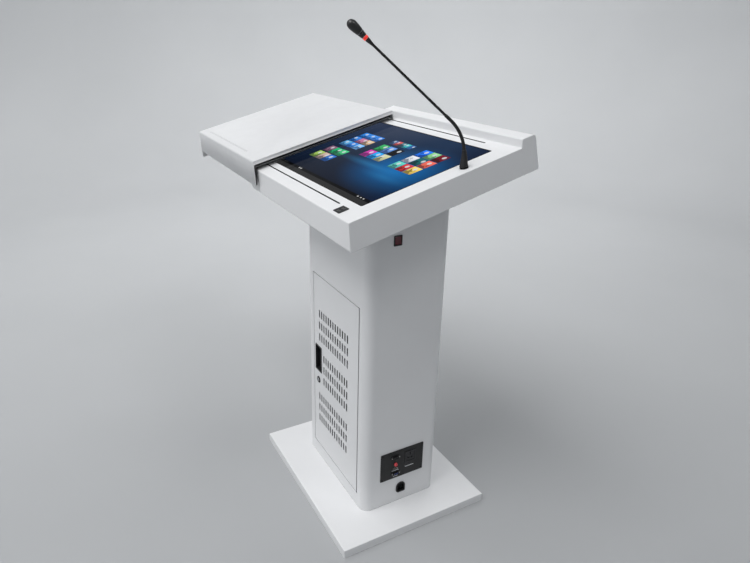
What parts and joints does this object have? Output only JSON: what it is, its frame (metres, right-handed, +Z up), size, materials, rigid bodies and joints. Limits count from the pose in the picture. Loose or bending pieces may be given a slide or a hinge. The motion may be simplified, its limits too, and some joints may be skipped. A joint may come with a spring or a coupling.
{
  "type": "multimedia lectern stand",
  "caption": "Free-standing steel lectern: base plate, louvred equipment column, sloping desk with display, sliding cover and gooseneck microphone.",
  "frame": {"origin": "centre of the base plate's underside, on the floor", "axes": "+X to the speaker's right, +Y away from the speaker, +Z up"},
  "size_m": [1.266, 0.5978, 1.5132],
  "materials": {
    "white_coat": "satin white powder coat with a fine texture",
    "plated_steel": "zinc plated",
    "chrome_lock": "polished",
    "nickel_shells": "nickel plated",
    "black_plastic": "moulded satin black",
    "black_rubber": "matt",
    "red_plastic": "translucent red",
    "pink_plastic": "red ring of an audio socket",
    "screen": "gloss touch glass",
    "board": "raw fibreboard"
  },
  "bodies": {
    "stand": {"audio_jack": "pink_plastic", "base_board": "board", "base_cover": "white_coat", "cable_grommet": "black_rubber", "column_bolt_1": "plated_steel", "column_bolt_2": "plated_steel", "column_bolt_3": "plated_steel", "column_bolt_4": "plated_steel", "column_foot_flange": "plated_steel", "column_head_flange": "plated_steel", "column_shell": "white_coat", "control_unit": "black_plastic", "desk_pan": "white_coat", "desk_shell": "white_coat", "digital_port": "nickel_shells", "display_bracket_left": "plated_steel", "display_bracket_right": "plated_steel", "display_glass": "screen", "display_module": "black_plastic", "door_stop_frame": "white_coat", "mains_outlet": "black_plastic", "mic_boot": "black_rubber", "mic_socket": "black_plastic", "mini_computer": "black_plastic", "pivot_bracket_lower": "plated_steel", "pivot_bracket_upper": "plated_steel", "power_strip": "black_plastic", "shelf_lower": "plated_steel", "shelf_upper": "plated_steel", "slide_outer_front": "plated_steel", "slide_outer_rear": "plated_steel", "socket_back_box": "plated_steel", "socket_plate": "black_plastic", "switch_housing": "black_plastic", "usb_module": "black_plastic", "video_socket_lower": "nickel_shells", "video_socket_upper": "nickel_shells"},
    "cover": {"cover_shell": "white_coat", "slide_inner_front": "plated_steel", "slide_inner_rear": "plated_steel"},
    "slide_front": {"slide_middle_front": "plated_steel"},
    "slide_rear": {"slide_middle_rear": "plated_steel"},
    "door": {"door_panel": "white_coat", "door_rim": "white_coat", "door_handle_cup": "black_plastic", "lock_barrel": "chrome_lock", "lock_nut": "plated_steel", "pivot_pin_lower": "plated_steel", "pivot_pin_upper": "plated_steel"},
    "lock": {"lock_plug": "chrome_lock", "lock_cam": "plated_steel"},
    "rocker": {"switch_rocker": "red_plastic"},
    "neck_root": {"mic_neck_collar": "black_rubber"},
    "neck_1": {"mic_neck_link_1": "black_rubber"},
    "neck_2": {"mic_neck_link_2": "black_rubber"},
    "neck_3": {"mic_neck_link_3": "black_rubber"},
    "microphone": {"mic_stem": "black_rubber", "mic_light_ring": "red_plastic", "mic_capsule": "black_plastic", "mic_windscreen": "black_plastic"}
  },
  "joints": [
    {"name": "cover_slide", "type": "slide", "parent": "stand", "child": "cover", "axis": [1, 0, 0], "range_m": [0, 0.563]},
    {"name": "slide_front_travel", "type": "slide", "parent": "stand", "child": "slide_front", "axis": [1, 0, 0], "range_m": [0, 0.2815]},
    {"name": "slide_rear_travel", "type": "slide", "parent": "stand", "child": "slide_rear", "axis": [1, 0, 0], "range_m": [0, 0.2815]},
    {"name": "door_hinge", "type": "hinge", "parent": "stand", "child": "door", "pos_m": [0.154, -0.133, 0.405], "axis": [0, 0, 1], "range_deg": [0, 105]},
    {"name": "lock_turn", "type": "hinge", "parent": "door", "child": "lock", "pos_m": [-0.1205, -0.138, 0.3425], "axis": [0, -1, 0], "range_deg": [-90, 0]},
    {"name": "power_rocker", "type": "hinge", "parent": "stand", "child": "rocker", "pos_m": [0.204, -0.046, 0.9435], "axis": [0, 1, 0], "range_deg": [0, 16]},
    {"name": "mic_swivel", "type": "hinge", "parent": "stand", "child": "neck_root", "pos_m": [0.3188, 0.07121, 1.20436], "axis": [-0.0868, -0.1504, 0.9848], "range_deg": [-90, 90]},
    {"name": "neck_bend_1", "type": "hinge", "parent": "neck_root", "child": "neck_1", "pos_m": [0.31769, 0.06929, 1.21615], "axis": [0.866, -0.5, 0], "range_deg": [-12, 12]},
    {"name": "neck_bend_2", "type": "hinge", "parent": "neck_1", "child": "neck_2", "pos_m": [0.31345, 0.06194, 1.24067], "axis": [0.866, -0.5, 0], "range_deg": [-12, 12]},
    {"name": "neck_bend_3", "type": "hinge", "parent": "neck_2", "child": "neck_3", "pos_m": [0.30661, 0.05009, 1.26271], "axis": [0.866, -0.5, 0], "range_deg": [-12, 12]},
    {"name": "neck_bend_4", "type": "hinge", "parent": "neck_3", "child": "microphone", "pos_m": [0.29754, 0.03438, 1.28128], "axis": [0.866, -0.5, 0], "range_deg": [-12, 12]}
  ],
  "couplings": [
    {"joint": "slide_front_travel", "follows": "cover_slide", "ratio": 0.5},
    {"joint": "slide_rear_travel", "follows": "cover_slide", "ratio": 0.5}
  ]
}
